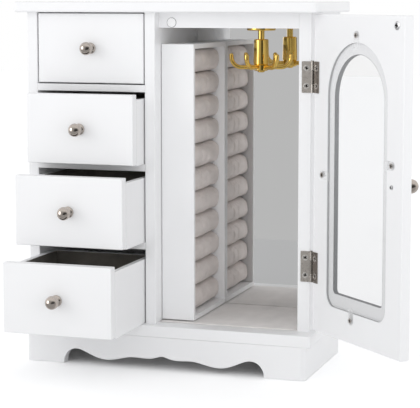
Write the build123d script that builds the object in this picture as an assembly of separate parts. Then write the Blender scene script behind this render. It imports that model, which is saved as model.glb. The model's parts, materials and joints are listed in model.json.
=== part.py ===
from build123d import *
import math
import os

os.makedirs("parts", exist_ok=True)

# A table-top jewelry cabinet of white painted boards. Four small drawers stand in the left bay.
# The right bay has a glazed door, a ring tray on its left wall, a necklace carousel under its
# ceiling and a mirror on its back wall. Sizes are in millimetres. +X is the right-hand side,
# the front faces -Y and Z = 0 is the table. The origin is the centre of the plinth's footprint.
# Drawers and door are modelled closed and then moved to the open places that they rest in.

# Overall sizes
overall_height = 340.0
plinth_width = 274.0
plinth_depth = 126.0
plinth_height = 30.5
base_thick = 11.0
top_thick = 10.0
top_side_overhang = 8.5
base_side_overhang = 4.5
board_front_overhang = 1.0
carcass_width = 272.0
front_setback = 8.0

# Board thicknesses
side_thick = 10.0
hinge_side_thick = 11.5
divider_thick = 10.0
shelf_thick = 6.6
back_thick = 3.0
mirror_thick = 2.0
mirror_side_gap = 3.0
ceiling_thick = 14.0
apron_thick = 10.0
liner_thick = 1.0
edge_round = 0.6

# Drawer bay
drawer_count = 4
drawer_bay_width = 107.3
shelf_pitch = 73.0
front_thick = 10.0
front_height = 64.2
front_side_gap = 1.3
front_lift = 1.2
drawer_side_thick = 5.0
drawer_side_drop = 5.0
drawer_lift = 0.25
drawer_rear_gap = 3.0
drawer_bottom_thick = 2.5
drawer_bottom_up = 1.6
groove_deep = 2.0
felt_thick = 0.8
pocket_deep = 1.6
drawer_pulls = [0.0, 28.0, 55.0, 83.0]

# Door
door_thick = 9.0
door_open_angle = 135.0
door_gap_low = 2.5
door_gap_high = 1.0
door_gap_side = 1.3
hinge_gap = 1.8
window_middle = 71.5
rebate_width = 96.0
rebate_low = 71.0
rebate_high = 305.5
rebate_deep = 2.3
rebate_corner = 12.0
sight_width = 80.0
sight_low = 83.0
sight_high = 295.5
sight_corner = 4.0
window_bevel = 3.0
glass_thick = 2.0
glass_slack = 0.6

# Hinges
hinge_heights = [101.8, 273.0]
hinge_long = 28.0
leaf_wide = 8.5
leaf_thick = 0.8
barrel_radius = 1.4
hinge_pin_radius = 0.7
pin_clearance = 0.05
pin_outboard = 1.5
middle_knuckle_long = 12.6
knuckle_gap = 0.3

# Knobs
knob_ball_radius = 6.1
knob_reach = 14.5
knob_base_radius = 5.3
knob_base_thick = 1.5
knob_neck_radius = 2.8
door_knob_from_hinge = 127.3
door_knob_height = 187.7

# Necklace carousel
carousel_x = 73.9
carousel_y = 8.0
flange_radius = 13.5
flange_thick = 3.0
stem_radius = 3.0
hub_radius = 7.0
hub_top = 305.0
hub_low = 275.5
arm_count = 6
arm_turn = 18.0
arm_reach = 28.0
arm_radius = 1.75
arm_height = 278.6
arm_tip_height = 292.0

# Ring tray
tray_wide = 32.0
tray_front_setback = 24.0
tray_board = 4.3
tray_low = 43.5
tray_high = 301.0
tray_backing_thick = 3.0
tray_side_gap = 0.5
roll_count = 11
roll_crown_drop = 5.0
roll_shoulder = 9.0
roll_head_gap = 1.0
roll_end_round = 5.0

# Places worked out from the sizes above
half_plinth = plinth_width / 2
half_carcass = carcass_width / 2
plinth_front = -plinth_depth / 2
back_plane = plinth_depth / 2
face_plane = plinth_front + front_setback
recess_plane = face_plane + door_thick + hinge_gap
board_front = plinth_front - board_front_overhang
base_low = plinth_height
floor_level = base_low + base_thick
roof_level = overall_height - top_thick
back_panel_front = back_plane - back_thick
mirror_face = back_panel_front - mirror_thick
bay_left = -half_carcass + side_thick
bay_right = bay_left + drawer_bay_width
room_left = bay_right + divider_thick
room_right = half_carcass - hinge_side_thick
room_top = roof_level - ceiling_thick
shelf_tops = [roof_level - n * shelf_pitch + shelf_thick for n in range(1, drawer_count)]
bay_floors = shelf_tops + [floor_level]
door_width = half_carcass - room_left - door_gap_side
door_low = floor_level + door_gap_low
door_high = roof_level - door_gap_high
door_inner = face_plane + door_thick
hinge_x = half_carcass + pin_outboard
hinge_y = door_inner + hinge_gap / 2
hinge_axis = Axis((hinge_x, hinge_y, 0), (0, 0, 1))
arm_root = hub_radius - 2.4
tray_front = plinth_front + tray_front_setback
tray_right = room_left + tray_wide
tray_back = mirror_face - 0.5


# Helpers

def block(x0, x1, y0, y1, z0, z1):
    """A box between two corners."""
    return Pos((x0 + x1) / 2, (y0 + y1) / 2, (z0 + z1) / 2) * Box(x1 - x0, y1 - y0, z1 - z0)


def eased(board, radius, axes=(Axis.X, Axis.Y, Axis.Z)):
    """A board with the edges that lie along the given axes rounded."""
    edges = ShapeList()
    for axis in axes:
        edges += board.edges().filter_by(axis)
    return fillet(edges, radius)


def front_eased(board, radius, axis):
    """A board with the front edges that lie along one axis rounded."""
    return fillet(board.edges().filter_by(axis).group_by(Axis.Y)[0], radius)


def facing(shape, place, direction):
    """Put a shape made along +Z at a place, pointing in a direction."""
    return Plane(origin=place, z_dir=direction).location * shape


def screw(head_radius, head_deep, shank_radius, length, slack=0.0):
    """A countersunk screw with its flat top at Z = 0 and its shank pointing down."""
    head = Pos(0, 0, -head_deep / 2) * Cone(shank_radius + slack, head_radius + slack, head_deep)
    shank_long = length - head_deep + slack
    shank = Pos(0, 0, -head_deep - shank_long / 2) * Cylinder(shank_radius + slack, shank_long)
    return head + shank


def pan_screw(head_radius, head_high, shank_radius, length, slack=0.0):
    """A screw with a low domed head that sits on Z = 0, and its shank pointing down."""
    head = Pos(0, 0, head_high / 2) * Cone(head_radius + slack, head_radius * 0.7 + slack, head_high)
    shank = Pos(0, 0, -(length + slack) / 2) * Cylinder(shank_radius + slack, length + slack)
    return head + shank


def save(name, *solids):
    """Write one node, made of one or more separate solids."""
    shape = solids[0] if len(solids) == 1 else Compound(children=list(solids))
    shape.label = name
    export_step(shape, f"parts/{name}.step")


# Fastener patterns

base_screw_size = (3.2, 2.0, 1.5, 27.0)
base_screw_xs = [bay_left - side_thick / 2, bay_right + divider_thick / 2, room_right + hinge_side_thick / 2]
base_screw_ys = [-32.0, 38.0]
base_screw_places = [(x, y, base_low) for x in base_screw_xs for y in base_screw_ys]

back_nail_size = (1.8, 0.6, 0.7, 11.0)
back_nail_places = (
    [((bay_right + room_left) / 2, back_plane, z) for z in (85.0, 185.0, 285.0)]
    + [((bay_left + bay_right) / 2, back_plane, top - shelf_thick / 2) for top in shelf_tops]
    + [(x, back_plane, room_top + ceiling_thick / 2) for x in (room_left + 30.0, room_right - 30.0)]
)

leaf_screw_size = (1.9, leaf_thick, 1.0, 8.0)
leaf_screw_spread = 8.0
frame_leaf_x = half_carcass - leaf_wide / 2
frame_screw_places = [
    (frame_leaf_x, recess_plane - leaf_thick, z + s * leaf_screw_spread)
    for z in hinge_heights for s in (-1, 1)
]
door_screw_places = [
    (frame_leaf_x, door_inner + leaf_thick, z + s * leaf_screw_spread)
    for z in hinge_heights for s in (-1, 1)
]


def cutters(size, places, direction, slack=0.05):
    """Holes for a set of screws, a little wider than the screws themselves."""
    return [facing(screw(*size, slack=slack), place, direction) for place in places]


def fasteners(size, places, direction):
    """The screws of one pattern, as separate solids."""
    return [facing(screw(*size), place, direction) for place in places]


# Plinth

def scallop_line():
    """The cut edge of the front apron, as a smooth line between its two feet."""
    half = [
        (38.5, 0.0), (40.5, 8.5), (45.0, 13.0), (52.5, 14.6), (60.0, 12.4), (66.5, 9.6), (74.0, 7.0),
        (81.5, 6.0), (89.0, 6.7), (96.0, 8.2), (106.0, 10.2), (121.0, 9.9), (130.0, 11.0),
        (plinth_width / 2, 12.8),
    ]
    left = [(s - half_plinth, h) for s, h in half]
    right = [(-x, h) for x, h in reversed(left[:-1])]
    return Spline(left + right)


def front_apron():
    """A board with two feet, arched cuts, a pair of bellies and a small peak in the middle."""
    scallop = scallop_line()
    foot_left = scallop @ 0
    foot_right = scallop @ 1
    outline = Polyline(
        foot_left, (-half_plinth, 0), (-half_plinth, plinth_height),
        (half_plinth, plinth_height), (half_plinth, 0), foot_right,
    )
    face = make_face([scallop, outline])
    board = Pos(0, plinth_front + apron_thick, 0) * extrude(Plane.XZ * face, apron_thick)
    corners = board.edges().filter_by(Axis.Z).group_by(Axis.Y)[0]
    outer = [e for e in corners if abs(abs(e.center().X) - half_plinth) < 0.1]
    return fillet(outer, 5.0)


def side_apron(side):
    """A plain board that runs back from the front apron, on the left (-1) or right (1)."""
    inner = side * (half_plinth - apron_thick)
    outer = side * half_plinth
    return block(min(inner, outer), max(inner, outer), plinth_front + apron_thick,
                 back_plane - apron_thick, 0, plinth_height)


def rear_apron():
    """The plain board that closes the plinth at the back."""
    return block(-half_plinth, half_plinth, back_plane - apron_thick, back_plane, 0, plinth_height)


# Carcass

def base_board():
    """The base board, drilled from below for the screws that hold the upright panels."""
    half = half_plinth + base_side_overhang
    board = eased(block(-half, half, board_front, back_plane, base_low, floor_level), 1.5, [Axis.X, Axis.Y])
    return board - cutters(base_screw_size, base_screw_places, (0, 0, -1))


def top_board():
    """The overhanging top, with softly rounded edges."""
    half = half_plinth + top_side_overhang
    board = block(-half, half, board_front, back_plane, roof_level, overall_height)
    return eased(board, 2.0)


def left_side_panel():
    """The left wall of the drawer bay."""
    board = block(-half_carcass, bay_left, face_plane, back_plane, floor_level, roof_level)
    board = front_eased(board, edge_round, Axis.Z)
    return board - cutters(base_screw_size, base_screw_places[:2], (0, 0, -1))


def right_side_panel():
    """The right wall, set back so that the door closes over its front edge."""
    board = block(room_right, half_carcass, recess_plane, back_plane, floor_level, roof_level)
    board = front_eased(board, edge_round, Axis.Z)
    holes = cutters(base_screw_size, base_screw_places[4:], (0, 0, -1))
    holes += cutters(leaf_screw_size, frame_screw_places, (0, -1, 0))
    return board - holes


def divider_panel():
    """The upright between the drawers and the door's compartment."""
    board = block(bay_right, room_left, face_plane, back_panel_front, floor_level, roof_level)
    board = front_eased(board, edge_round, Axis.Z)
    holes = cutters(base_screw_size, base_screw_places[2:4], (0, 0, -1))
    holes += cutters(back_nail_size, back_nail_places[:3], (0, 1, 0))
    return board - holes


def drawer_shelf(index):
    """A thin shelf between two drawers."""
    top = shelf_tops[index]
    board = block(bay_left, bay_right, face_plane, back_panel_front, top - shelf_thick, top)
    board = front_eased(board, edge_round, Axis.X)
    return board - cutters(back_nail_size, [back_nail_places[3 + index]], (0, 1, 0))


magnet_x = 3.8
magnet_z = 320.8
magnet_radius = 4.25
magnet_long = 9.0
flange_screw_size = (2.2, 1.2, 1.0, 10.0)
flange_screw_places = [
    (carousel_x + 9.5 * math.cos(math.radians(a)), carousel_y + 9.5 * math.sin(math.radians(a)),
     room_top - flange_thick)
    for a in (arm_turn, arm_turn + 120, arm_turn + 240)
]


def compartment_ceiling():
    """The thick board over the compartment, which carries the carousel and the magnet."""
    board = block(room_left, room_right, recess_plane, back_panel_front, room_top, roof_level)
    seat = facing(Cylinder(magnet_radius + 0.05, 2 * magnet_long), (magnet_x, recess_plane, magnet_z), (0, -1, 0))
    holes = cutters(back_nail_size, back_nail_places[6:], (0, 1, 0))
    holes += cutters(flange_screw_size, flange_screw_places, (0, 0, -1))
    return board - seat - holes


def back_panel():
    """The thin sheet let in between the side panels."""
    board = block(bay_left, room_right, back_panel_front, back_plane, floor_level, roof_level)
    return board - cutters(back_nail_size, back_nail_places, (0, 1, 0))


def compartment_mirror():
    """A mirror sheet on the back wall of the compartment, with a thin white margin at each side."""
    x0 = room_left + mirror_side_gap
    x1 = room_right - mirror_side_gap
    return block(x0, x1, mirror_face, back_panel_front, floor_level + liner_thick, room_top)


def floor_liner():
    """A thin suede sheet on the compartment's floor."""
    return block(room_left, room_right, recess_plane, back_panel_front, floor_level, floor_level + liner_thick)


def magnet_catch():
    """A round magnet in the ceiling board's front edge, a little proud of it."""
    body = Pos(0, 0, -magnet_long / 2) * Cylinder(magnet_radius, magnet_long)
    return facing(body, (magnet_x, recess_plane - 0.3, magnet_z), (0, -1, 0))


# Hinges

def hinge_leaf(low, high, spans, toward_door):
    """A leaf with its own knuckles, standing at the closed place of the hinge."""
    sign = -1 if toward_door else 1
    outer = hinge_y + sign * hinge_gap / 2
    inner = outer - sign * leaf_thick
    y0 = min(inner, outer)
    y1 = max(inner, outer)
    near = hinge_x - barrel_radius - 0.4
    leaf = block(half_carcass - leaf_wide, near, y0, y1, low, high)
    for z0, z1 in spans:
        barrel = Pos(hinge_x, hinge_y, (z0 + z1) / 2) * Cylinder(barrel_radius, z1 - z0)
        tongue = block(near - 0.1, hinge_x, y0, y1, z0, z1)
        leaf = leaf + tongue + barrel
    bore = Pos(hinge_x, hinge_y, (low + high) / 2) * Cylinder(hinge_pin_radius + pin_clearance, hinge_long * 2)
    return leaf - bore


def knuckle_spans(height):
    """The heights of a hinge's three knuckles, from the lowest."""
    half = hinge_long / 2
    middle = middle_knuckle_long / 2
    return [
        (height - half, height - middle - knuckle_gap / 2),
        (height - middle + knuckle_gap / 2, height + middle - knuckle_gap / 2),
        (height + middle + knuckle_gap / 2, height + half),
    ]


def hinge_frame_leaf(height):
    """The leaf on the cabinet's side, with the two outer knuckles."""
    leaf = hinge_leaf(height - hinge_long / 2, height + hinge_long / 2, knuckle_spans(height)[0::2], False)
    near = [p for p in frame_screw_places if abs(p[2] - height) < hinge_long]
    return leaf - cutters(leaf_screw_size, near, (0, -1, 0))


def hinge_door_leaf(height):
    """The leaf on the door's inner face, with the middle knuckle."""
    leaf = hinge_leaf(height - hinge_long / 2, height + hinge_long / 2, knuckle_spans(height)[1::2], True)
    near = [p for p in door_screw_places if abs(p[2] - height) < hinge_long]
    return leaf - cutters(leaf_screw_size, near, (0, 1, 0))


def hinge_pin(height):
    """A pin through the knuckles, with a small head at its top."""
    pin = Pos(hinge_x, hinge_y, height) * Cylinder(hinge_pin_radius, hinge_long)
    head = Pos(hinge_x, hinge_y, height + hinge_long / 2 + 0.35) * Cylinder(barrel_radius - 0.2, 0.7)
    return pin + head


# Door

def arched_face(width, low, high, corner):
    """An upright window outline with a half-round head and rounded lower corners."""
    half = width / 2
    spring = high - half
    dip = corner * math.sqrt(0.5)
    outline = [
        Line((half, low + corner), (half, spring)),
        ThreePointArc((half, spring), (0, high), (-half, spring)),
        Line((-half, spring), (-half, low + corner)),
        ThreePointArc((-half, low + corner), (corner - dip - half, low + corner - dip), (corner - half, low)),
        Line((corner - half, low), (half - corner, low)),
        ThreePointArc((half - corner, low), (half - corner + dip, low + corner - dip), (half, low + corner)),
    ]
    return make_face(outline)


def window_cut(width, low, high, corner, front, back):
    """A solid with the window's outline, between two depths."""
    face = arched_face(width, low, high, corner)
    middle = half_carcass - window_middle
    return Pos(middle, back, 0) * extrude(Plane.XZ * face, back - front)


clip_long = 15.0
clip_wide = 8.0
clip_thick = 1.3
clip_screw_size = (2.3, 0.9, 1.0, 7.0)
clip_screw_up = 4.0
# Each clip: its screw's distance from the hinge edge, its screw's height, and the way it points
clip_places = [
    (70.3, 311.6, (0, -1)),
    (65.6, 64.4, (0, 1)),
    (15.8, 187.0, (-1, 0)),
    (127.3, 205.5, (1, 0)),
]
strike_from_hinge = half_carcass - magnet_x
knob_screw_size = (3.0, 1.4, 1.6)
strike_screw_size = (3.7, 0.9, 1.2, 6.0)


def on_door(from_hinge, height, proud=0.0):
    """A point on the closed door's inner face."""
    return (half_carcass - from_hinge, door_inner + proud, height)


def door_panel():
    """The door board, with an arched window that is rebated inside and bevelled outside."""
    board = block(half_carcass - door_width, half_carcass, face_plane, door_inner, door_low, door_high)
    board = eased(board, 0.9)
    rebate_floor = door_inner - rebate_deep
    rebate = window_cut(rebate_width, rebate_low, rebate_high, rebate_corner, rebate_floor, door_inner + 1)
    sight = window_cut(sight_width, sight_low, sight_high, sight_corner, face_plane - 1, door_inner)
    board = board - rebate - sight
    rim = [e for e in board.edges() if abs(e.center().Y - face_plane) < 0.01 and window_rim(e)]
    board = chamfer(rim, window_bevel, window_bevel * 0.8)
    holes = cutters(leaf_screw_size, door_screw_places, (0, 1, 0))
    for from_hinge, height, _ in clip_places:
        holes.append(facing(Cylinder(1.05, 12.0), on_door(from_hinge, height), (0, 1, 0)))
    holes.append(facing(Cylinder(1.25, 12.2), on_door(strike_from_hinge, magnet_z), (0, 1, 0)))
    holes.append(facing(Cylinder(1.65, 40.0), on_door(door_knob_from_hinge, door_knob_height), (0, 1, 0)))
    return board - holes


def window_rim(edge):
    """Whether an edge belongs to the window and not to the door's own outline."""
    middle = half_carcass - window_middle
    near_x = abs(edge.center().X - middle) < sight_width / 2 + 2
    near_z = sight_low - 2 < edge.center().Z < sight_high + 2
    return near_x and near_z


def door_glass():
    """The clear pane, lying in the rebate."""
    width = rebate_width - 2 * glass_slack
    low = rebate_low + glass_slack
    high = rebate_high - glass_slack
    outer = door_inner - rebate_deep
    return window_cut(width, low, high, rebate_corner - glass_slack, outer, outer + glass_thick)


def glass_clip(from_hinge, height, way):
    """A clear tab with a round screw end, whose tongue laps over the pane."""
    pad = Pos(0, 0, clip_thick / 2) * Cylinder(clip_wide / 2 - 0.2, clip_thick)
    tongue = block(0, clip_long - clip_wide / 2, -clip_wide / 2 + 0.2, clip_wide / 2 - 0.2, 0, clip_thick)
    tongue = fillet(tongue.edges().filter_by(Axis.Z).group_by(Axis.X)[-1], 1.5)
    hole = Pos(0, 0, clip_thick) * screw(*clip_screw_size, slack=0.05)
    clip = pad + tongue - hole
    place = Plane(origin=on_door(from_hinge, height), x_dir=(-way[0] * -1, 0, way[1]), z_dir=(0, 1, 0))
    return place.location * clip


def clip_screw(from_hinge, height):
    """The screw of one clip, flush with the clip's face."""
    return facing(screw(*clip_screw_size), on_door(from_hinge, height, clip_thick), (0, 1, 0))


def strike_screw():
    """The broad steel screw on the door that meets the magnet."""
    return facing(pan_screw(*strike_screw_size), on_door(strike_from_hinge, magnet_z), (0, 1, 0))


# Knobs

def knob():
    """A ball knob on a flared foot, standing on Z = 0, with a blind screw hole in its foot."""
    ball_low = knob_reach - math.sqrt(knob_ball_radius ** 2 - knob_neck_radius ** 2)
    profile = [
        Line((0, 0), (knob_base_radius, 0)),
        Line((knob_base_radius, 0), (knob_base_radius, knob_base_thick)),
        ThreePointArc((knob_base_radius, knob_base_thick), (knob_neck_radius + 0.8, 2.5), (knob_neck_radius, 4.0)),
        Line((knob_neck_radius, 4.0), (knob_neck_radius, ball_low)),
        ThreePointArc((knob_neck_radius, ball_low), (knob_ball_radius, knob_reach),
                      (0, knob_reach + knob_ball_radius)),
        Line((0, knob_reach + knob_ball_radius), (0, 0)),
    ]
    turned = revolve(Plane.XZ * make_face(profile), Axis.Z)
    return turned - Pos(0, 0, 4.0) * Cylinder(knob_screw_size[2] + 0.05, 8.1)


def knob_screw(grip):
    """The screw that holds a knob through a board of thickness grip, as it lies behind the knob."""
    return Pos(0, 0, -grip) * Rot(180, 0, 0) * pan_screw(*knob_screw_size, grip + 7.5)


# Drawers

def drawer_front(index):
    """A drawer front with eased edges, a bored screw hole and a groove for the bottom."""
    z0 = bay_floors[index] + front_lift
    x0 = bay_left + front_side_gap
    x1 = bay_right - front_side_gap
    board = eased(block(x0, x1, face_plane, face_plane + front_thick, z0, z0 + front_height), 0.8)
    middle = ((x0 + x1) / 2, face_plane, z0 + front_height / 2)
    hole = facing(Cylinder(1.65, 3 * front_thick), middle, (0, -1, 0))
    pocket_place = (middle[0], face_plane + front_thick, middle[2])
    pocket = facing(Cylinder(3.5, 2 * pocket_deep), pocket_place, (0, -1, 0))
    return board - hole - pocket - bottom_cut(index)


def bottom_cut(index, slack=0.05):
    """The space of a drawer's bottom panel, with a little slack for the grooves."""
    x0 = bay_left + front_side_gap + drawer_side_thick - groove_deep
    x1 = bay_right - front_side_gap - drawer_side_thick + groove_deep
    y0 = face_plane + front_thick - groove_deep
    y1 = back_panel_front - drawer_rear_gap - drawer_side_thick + groove_deep
    z0 = bay_floors[index] + front_lift + drawer_bottom_up
    return block(x0 - slack, x1 + slack, y0 - slack, y1 + slack, z0 - slack, z0 + drawer_bottom_thick + slack)


def drawer_boards(index):
    """The two sides and the back of a drawer, lower than its front."""
    z0 = bay_floors[index] + drawer_lift
    z1 = bay_floors[index] + front_lift + front_height - drawer_side_drop
    x0 = bay_left + front_side_gap
    x1 = bay_right - front_side_gap
    y0 = face_plane + front_thick
    y1 = back_panel_front - drawer_rear_gap
    groove = bottom_cut(index)
    left = block(x0, x0 + drawer_side_thick, y0, y1, z0, z1) - groove
    right = block(x1 - drawer_side_thick, x1, y0, y1, z0, z1) - groove
    back = block(x0 + drawer_side_thick, x1 - drawer_side_thick, y1 - drawer_side_thick, y1, z0, z1) - groove
    return [left, right, back]


def drawer_lining(index):
    """A thin felt lining on the drawer's floor and walls."""
    x0 = bay_left + front_side_gap + drawer_side_thick
    x1 = bay_right - front_side_gap - drawer_side_thick
    y0 = face_plane + front_thick
    y1 = back_panel_front - drawer_rear_gap - drawer_side_thick
    z0 = bay_floors[index] + front_lift + drawer_bottom_up + drawer_bottom_thick
    z1 = bay_floors[index] + front_lift + front_height - drawer_side_drop
    shell = block(x0, x1, y0, y1, z0, z1)
    room = block(x0 + felt_thick, x1 - felt_thick, y0 + felt_thick, y1 - felt_thick, z0 + felt_thick, z1 + 1)
    return shell - room


def on_front(index, shape):
    """A shape put at the middle of a drawer's front, pointing out."""
    middle = ((bay_left + bay_right) / 2, face_plane, bay_floors[index] + front_lift + front_height / 2)
    return facing(shape, middle, (0, -1, 0))


# Carousel

def carousel_flange():
    """The fixed plate and stem that the carousel turns on."""
    plate = Pos(0, 0, -flange_thick / 2) * Cylinder(flange_radius, flange_thick)
    plate = fillet(plate.edges().sort_by(Axis.Z)[0], 1.2)
    stem_long = room_top - hub_low + 0.4
    stem = Pos(0, 0, -stem_long / 2) * Cylinder(stem_radius, stem_long)
    plate = Pos(carousel_x, carousel_y, room_top) * (plate + stem)
    return plate - cutters(flange_screw_size, flange_screw_places, (0, 0, -1))


def carousel_retainer():
    """The round nut under the hub that keeps it on the stem."""
    low = hub_low - 0.4
    nut = Pos(carousel_x, carousel_y, low - 1.1) * Cylinder(4.4, 2.2)
    return fillet(nut.edges().sort_by(Axis.Z)[0], 1.0)


def carousel_hub():
    """The turned hub, waisted at its top and swelling where the arms spring."""
    profile = Polyline(
        (stem_radius + 0.08, hub_low), (hub_radius - 1.2, hub_low), (hub_radius, hub_low + 1.0),
        (hub_radius + 0.2, hub_low + 5.4), (hub_radius - 0.5, hub_low + 6.0), (hub_radius + 0.3, hub_low + 6.6),
        (hub_radius - 0.2, hub_top - 0.8), (hub_radius - 1.0, hub_top), (stem_radius + 0.08, hub_top), close=True,
    )
    turned = revolve(Plane.XZ * make_face(profile), Axis.Z)
    return Pos(carousel_x, carousel_y, 0) * turned - [arm_seat(n) for n in range(arm_count)]


def arm_seat(number):
    """The round hole in the hub that holds an arm."""
    hole = Pos(arm_root + 3.0, 0, arm_height) * Rot(0, 90, 0) * Cylinder(arm_radius, 6.0)
    return Pos(carousel_x, carousel_y, 0) * Rot(0, 0, arm_turn + 60.0 * number) * hole


def carousel_arm(number):
    """A round arm that dips away from the hub and curves up to a rounded tip."""
    start = arm_root
    bend = arm_tip_height - arm_height - 4.0
    path = [
        Line((start, arm_height), (arm_reach - bend, arm_height)),
        ThreePointArc(
            (arm_reach - bend, arm_height),
            (arm_reach - bend + bend * math.sqrt(0.5), arm_height + bend - bend * math.sqrt(0.5)),
            (arm_reach, arm_height + bend),
        ),
        Line((arm_reach, arm_height + bend), (arm_reach, arm_tip_height - arm_radius)),
    ]
    wire = Plane.XZ * Wire(path)
    section = Plane(origin=(start, 0, arm_height), z_dir=(1, 0, 0)) * Circle(arm_radius)
    arm = sweep(section, wire)
    arm = arm + Pos(arm_reach, 0, arm_tip_height - arm_radius) * Sphere(arm_radius)
    return Pos(carousel_x, carousel_y, 0) * Rot(0, 0, arm_turn + 60.0 * number) * arm


# Ring tray

def tray_board_plate(y0, y1, z0, z1):
    """One board of the tray, a little clear of the divider."""
    return block(room_left + tray_side_gap, tray_right, y0, y1, z0, z1)


def tray_front_board():
    """The white board that faces the door."""
    return eased(tray_board_plate(tray_front, tray_front + tray_board, tray_low, tray_high), 0.5)


def tray_rear_board():
    """The board next to the mirror."""
    return tray_board_plate(tray_back - tray_board, tray_back, tray_low, tray_high)


def tray_end_board(low):
    """The top or the bottom board of the tray."""
    x0 = room_left + tray_side_gap + tray_backing_thick
    return block(x0, tray_right, tray_front + tray_board, tray_back - tray_board, low, low + tray_board)


def tray_backing():
    """The sheet at the tray's back, glued to the divider."""
    x1 = room_left + tray_side_gap + tray_backing_thick
    return block(room_left, x1, tray_front + tray_board, tray_back - tray_board, tray_low, tray_high)


def ring_roll(number):
    """A padded roll with an oval crown, deep creases beside it and rounded ends."""
    pitch = (tray_high - tray_low - 2 * tray_board - roll_head_gap) / roll_count
    low = tray_low + tray_board + number * pitch + 0.1
    high = low + pitch - 0.2
    crown = tray_right - roll_crown_drop
    valley = crown - roll_shoulder
    root = room_left + tray_side_gap + tray_backing_thick
    half = (high - low) / 2
    oval = EllipticalCenterArc((valley, low + half), roll_shoulder, half, start_angle=-90, arc_size=180)
    outline = [
        Line((root, low), (valley, low)),
        oval,
        Line((valley, high), (root, high)),
        Line((root, high), (root, low)),
    ]
    y0 = tray_front + tray_board + 0.4
    y1 = tray_back - tray_board - 0.4
    roll = Pos(0, y1, 0) * extrude(Plane.XZ * make_face(outline), y1 - y0)
    plan = block(root - 1, crown, y0, y1, low - 1, high + 1)
    corners = plan.edges().filter_by(Axis.Z).group_by(Axis.X)[-1]
    return roll & fillet(corners, roll_end_round)


# Write the fixed pieces

save("front_apron", front_apron())
save("side_aprons", side_apron(-1), side_apron(1))
save("rear_apron", rear_apron())
save("base_board", base_board())
save("top_board", top_board())
save("left_side_panel", left_side_panel())
save("right_side_panel", right_side_panel())
save("divider_panel", divider_panel())
save("drawer_shelves", *[drawer_shelf(n) for n in range(drawer_count - 1)])
save("compartment_ceiling", compartment_ceiling())
save("back_panel", back_panel())
save("compartment_mirror", compartment_mirror())
save("floor_liner", floor_liner())
save("magnet_catch", magnet_catch())
save("base_screws", *fasteners(base_screw_size, base_screw_places, (0, 0, -1)))
save("back_panel_nails", *fasteners(back_nail_size, back_nail_places, (0, 1, 0)))
save("hinge_frame_leaves", *[hinge_frame_leaf(z) for z in hinge_heights])
save("hinge_frame_screws", *fasteners(leaf_screw_size, frame_screw_places, (0, -1, 0)))
save("hinge_pins", *[hinge_pin(z) for z in hinge_heights])
save("carousel_flange", carousel_flange())
save("flange_screws", *fasteners(flange_screw_size, flange_screw_places, (0, 0, -1)))
save("carousel_retainer", carousel_retainer())
tray_foot = tray_end_board(tray_low)
tray_head = tray_end_board(tray_high - tray_board)
save("tray_frame_boards", tray_front_board(), tray_rear_board(), tray_foot, tray_head)
save("tray_backing", tray_backing())
save("ring_rolls", *[ring_roll(n) for n in range(roll_count)])

# Write the carousel

save("carousel_hub", carousel_hub())
save("carousel_arms", *[carousel_arm(n) for n in range(arm_count)])


# Write the door's pieces, swung open about the hinge pins

def swung(shape):
    """A door piece at the angle that the door rests at."""
    return shape.rotate(hinge_axis, door_open_angle)


save("door_panel", swung(door_panel()))
save("door_glass", swung(door_glass()))
save("glass_clips", *[swung(glass_clip(*clip)) for clip in clip_places])
save("clip_screws", *[swung(clip_screw(*clip[:2])) for clip in clip_places])
save("strike_screw", swung(strike_screw()))
knob_foot = (half_carcass - door_knob_from_hinge, face_plane, door_knob_height)
save("door_knob", swung(facing(knob(), knob_foot, (0, -1, 0))))
save("door_knob_screw", swung(facing(knob_screw(door_thick), knob_foot, (0, -1, 0))))
save("hinge_door_leaves", *[swung(hinge_door_leaf(z)) for z in hinge_heights])
save("hinge_door_screws", *[swung(s) for s in fasteners(leaf_screw_size, door_screw_places, (0, 1, 0))])

# Write the drawers, each pulled out by its own distance

for index in range(drawer_count):
    out = Pos(0, -drawer_pulls[index], 0)
    name = f"drawer_{index + 1}"
    save(f"{name}_front", out * drawer_front(index))
    save(f"{name}_boards", *[out * board for board in drawer_boards(index)])
    save(f"{name}_bottom", out * bottom_cut(index, slack=0.0))
    save(f"{name}_lining", out * drawer_lining(index))
    save(f"{name}_knob", out * on_front(index, knob()))
    save(f"{name}_knob_screw", out * on_front(index, knob_screw(front_thick - pocket_deep)))
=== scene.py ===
"""A white table-top jewelry cabinet, dressed and lit for a studio picture.

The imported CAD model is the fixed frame. Painted boards, hinges and clips keep their CAD shapes and get finishes
here. The cloth, knobs, hooked arms, screws and the door's pane are made here and stand for their CAD nodes.
All lengths are in metres, in the frame's own axes: +X right, +Y back, +Z up.
"""

from __future__ import annotations

import json
import logging
import math
from dataclasses import dataclass
from enum import Enum
from functools import lru_cache
from typing import Iterable, Sequence

import bmesh
import bpy
from mathutils import Matrix, Vector, noise

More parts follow.
